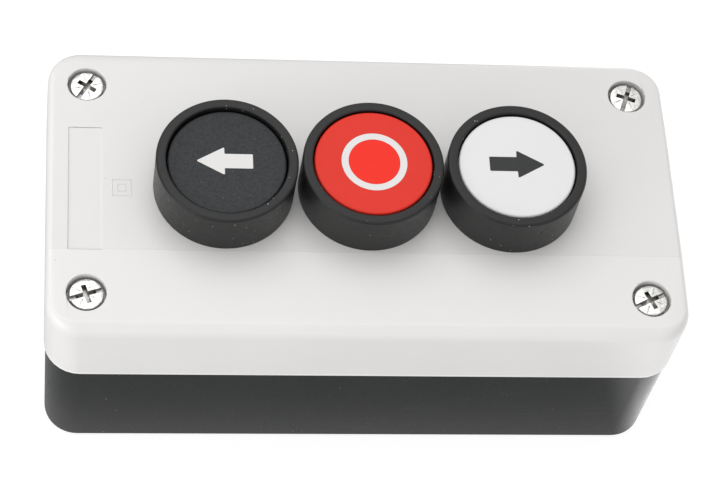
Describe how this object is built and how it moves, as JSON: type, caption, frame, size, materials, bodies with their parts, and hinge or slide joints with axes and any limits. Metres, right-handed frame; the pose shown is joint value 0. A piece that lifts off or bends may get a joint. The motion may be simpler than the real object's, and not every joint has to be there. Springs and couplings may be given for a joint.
{
  "type": "push button control station",
  "caption": "Surface-mounting push button station: light grey cover on a black base, round black bezels with arrow, stop-ring and arrow caps over spring contact blocks.",
  "frame": {"origin": "centre of the flat back of the base, which is the bottom of the box", "axes": "+Z out of the buttons, X along the housing through the three buttons, +Y towards the top of the picture"},
  "size_m": [0.133, 0.068, 0.0612],
  "materials": {
    "base_black": "fine moulded, semi-gloss",
    "cover_grey": "smooth moulded, satin",
    "bezel_black": "satin moulded",
    "cap_black": "fine matte grain",
    "cap_red": "satin",
    "cap_white": "satin",
    "legend_white": "satin",
    "legend_black": "satin",
    "seal_rubber": "matte",
    "screw_steel": "bright zinc plated",
    "spring_steel": "drawn wire",
    "pusher_plastic": "natural",
    "block_grey": "fine matte",
    "contact_brass": "bright",
    "plunger_green": "satin",
    "plunger_red": "satin"
  },
  "bodies": {
    "housing": {"base": "base_black", "cover": "cover_grey", "cover_gasket": "seal_rubber", "cover_screws": "screw_steel", "bezel_left": "bezel_black", "bezel_stop": "bezel_black", "bezel_right": "bezel_black", "flange_seal_left": "seal_rubber", "flange_seal_stop": "seal_rubber", "flange_seal_right": "seal_rubber", "fixing_nut_left": "bezel_black", "fixing_nut_stop": "bezel_black", "fixing_nut_right": "bezel_black", "contact_foot_left": "block_grey", "contact_foot_stop": "block_grey", "contact_foot_right": "block_grey", "contact_housing_left": "block_grey", "contact_housing_stop": "block_grey", "contact_housing_right": "block_grey", "fixed_contacts_left": "contact_brass", "fixed_contacts_stop": "contact_brass", "fixed_contacts_right": "contact_brass", "terminal_screws": "screw_steel", "terminal_clamps": "screw_steel"},
    "button_left": {"cap_left": "cap_black", "legend_left": "legend_white", "pusher_left": "pusher_plastic", "return_spring_left": "spring_steel"},
    "plunger_left": {"contact_plunger_left": "plunger_green", "contact_spring_left": "spring_steel", "plunger_spring_left": "spring_steel"},
    "bridge_left": {"contact_bridge_left": "contact_brass"},
    "button_stop": {"cap_stop": "cap_red", "legend_stop": "legend_white", "pusher_stop": "pusher_plastic", "return_spring_stop": "spring_steel"},
    "plunger_stop": {"contact_plunger_stop": "plunger_red", "contact_spring_stop": "spring_steel", "plunger_spring_stop": "spring_steel"},
    "bridge_stop": {"contact_bridge_stop": "contact_brass"},
    "button_right": {"cap_right": "cap_white", "legend_right": "legend_black", "pusher_right": "pusher_plastic", "return_spring_right": "spring_steel"},
    "plunger_right": {"contact_plunger_right": "plunger_green", "contact_spring_right": "spring_steel", "plunger_spring_right": "spring_steel"},
    "bridge_right": {"contact_bridge_right": "contact_brass"}
  },
  "joints": [
    {"name": "press_left", "type": "slide", "parent": "housing", "child": "button_left", "axis": [0, 0, -1], "range_m": [0, 0.0043], "stiffness_N_per_m": 400, "springref_m": -0.006, "deforming": ["return_spring_left"]},
    {"name": "contact_left", "type": "slide", "parent": "housing", "child": "plunger_left", "axis": [0, 0, -1], "range_m": [0, 0.0043], "deforming": ["plunger_spring_left", "contact_spring_left"]},
    {"name": "bridge_left", "type": "slide", "parent": "housing", "child": "bridge_left", "axis": [0, 0, -1], "range_m": [0, 0.0026]},
    {"name": "press_stop", "type": "slide", "parent": "housing", "child": "button_stop", "axis": [0, 0, -1], "range_m": [0, 0.0043], "stiffness_N_per_m": 400, "springref_m": -0.006, "deforming": ["return_spring_stop"]},
    {"name": "contact_stop", "type": "slide", "parent": "housing", "child": "plunger_stop", "axis": [0, 0, -1], "range_m": [0, 0.0043], "deforming": ["plunger_spring_stop", "contact_spring_stop"]},
    {"name": "bridge_stop", "type": "slide", "parent": "housing", "child": "bridge_stop", "axis": [0, 0, -1], "range_m": [0, 0.0028]},
    {"name": "press_right", "type": "slide", "parent": "housing", "child": "button_right", "axis": [0, 0, -1], "range_m": [0, 0.0043], "stiffness_N_per_m": 400, "springref_m": -0.006, "deforming": ["return_spring_right"]},
    {"name": "contact_right", "type": "slide", "parent": "housing", "child": "plunger_right", "axis": [0, 0, -1], "range_m": [0, 0.0043], "deforming": ["plunger_spring_right", "contact_spring_right"]},
    {"name": "bridge_right", "type": "slide", "parent": "housing", "child": "bridge_right", "axis": [0, 0, -1], "range_m": [0, 0.0026]}
  ],
  "couplings": [
    {"joint": "contact_left", "follows": "press_left", "ratio": 1},
    {"joint": "bridge_left", "follows": "press_left", "ratio": 0.604},
    {"joint": "contact_stop", "follows": "press_stop", "ratio": 1},
    {"joint": "bridge_stop", "follows": "press_stop", "ratio": 0.65},
    {"joint": "contact_right", "follows": "press_right", "ratio": 1},
    {"joint": "bridge_right", "follows": "press_right", "ratio": 0.604}
  ]
}
